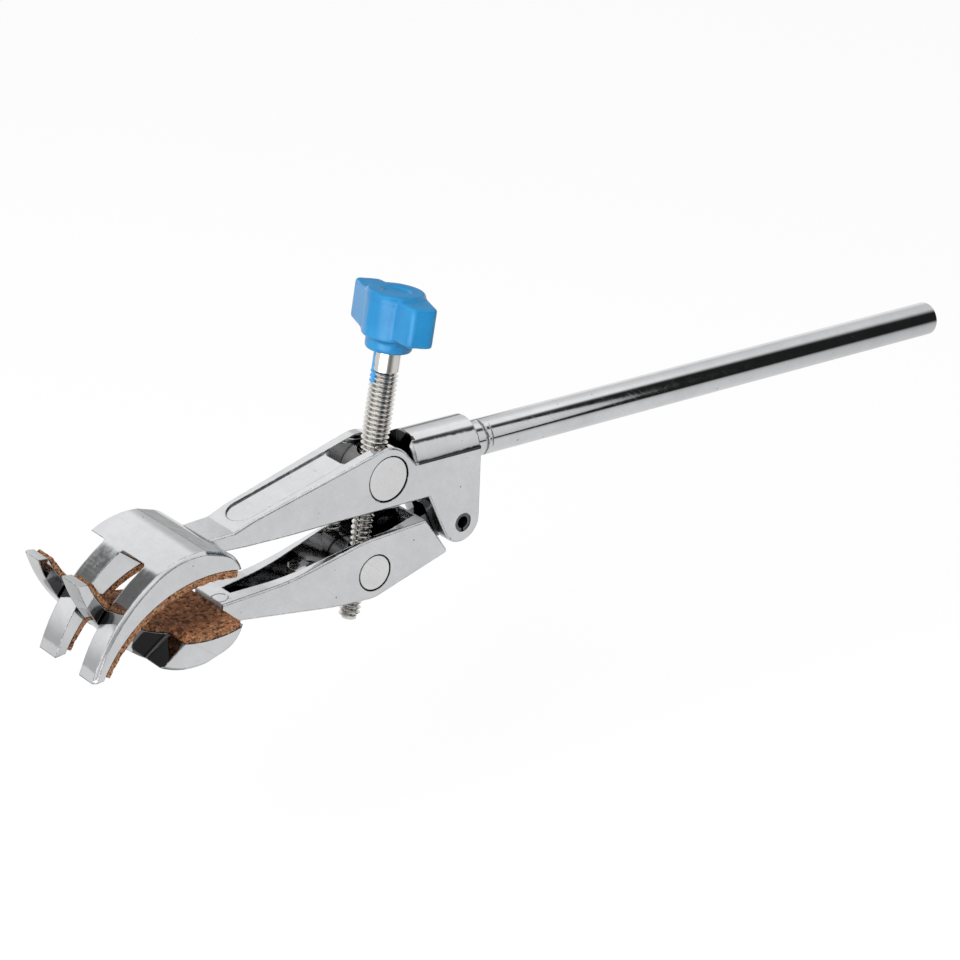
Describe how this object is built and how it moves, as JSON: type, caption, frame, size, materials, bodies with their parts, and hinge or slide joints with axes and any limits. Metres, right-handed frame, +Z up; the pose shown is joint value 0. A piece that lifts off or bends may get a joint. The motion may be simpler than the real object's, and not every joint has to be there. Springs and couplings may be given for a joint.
{
  "type": "laboratory clamp",
  "caption": "Laboratory clamp: forked cork-lined jaws on a chromed body with a support rod, opened and closed by a wing-knob screw through two swivel barrels.",
  "frame": {"origin": "on the support rod's axis, where the rod leaves the rear face of the fixed jaw's body", "axes": "+X along the rod to its free end, +Z up towards the knob, +Y across the jaws"},
  "size_m": [0.2494, 0.0256, 0.0728],
  "materials": {
    "chrome_rod": "polished",
    "chrome_casting": "polished",
    "nickel_barrel": "satin",
    "steel_pin": "dark",
    "steel_screw": "bright",
    "blue_plastic": "moulded",
    "cork": "granular"
  },
  "bodies": {
    "fixed": {"rod": "chrome_rod", "fixed_jaw": "chrome_casting", "hinge_pin": "steel_pin", "upper_cork": "cork"},
    "moving": {"moving_jaw": "chrome_casting", "lower_cork": "cork"},
    "lower_barrel": {"lower_trunnion": "nickel_barrel"},
    "adjuster": {"screw": "steel_screw", "knob": "blue_plastic"},
    "upper_barrel": {"upper_trunnion": "nickel_barrel"}
  },
  "joints": [
    {"name": "jaw_hinge", "type": "hinge", "parent": "fixed", "child": "moving", "pos_m": [-0.00411, 0, -0.01568], "axis": [0, 1, 0], "range_deg": [-45, 6.2]},
    {"name": "lower_swivel", "type": "hinge", "parent": "moving", "child": "lower_barrel", "pos_m": [-0.02767, 0, -0.02154], "axis": [0, 1, 0], "range_deg": [-3.5, 25.3]},
    {"name": "knob_turn", "type": "hinge", "parent": "lower_barrel", "child": "adjuster", "pos_m": [-0.02512, 0, -0.0008], "axis": [0.1219, 0, 0.9925], "range_deg": [-380, 2770]},
    {"name": "upper_swivel", "type": "hinge", "parent": "fixed", "child": "upper_barrel", "pos_m": [-0.02512, 0, -0.0008], "axis": [0, 1, 0], "range_deg": [-19.9, 2.8]}
  ],
  "couplings": [
    {"joint": "jaw_hinge", "follows": "knob_turn", "ratio": -0.0162},
    {"joint": "lower_swivel", "follows": "knob_turn", "ratio": 0.009072},
    {"joint": "upper_swivel", "follows": "knob_turn", "ratio": -0.007128}
  ]
}
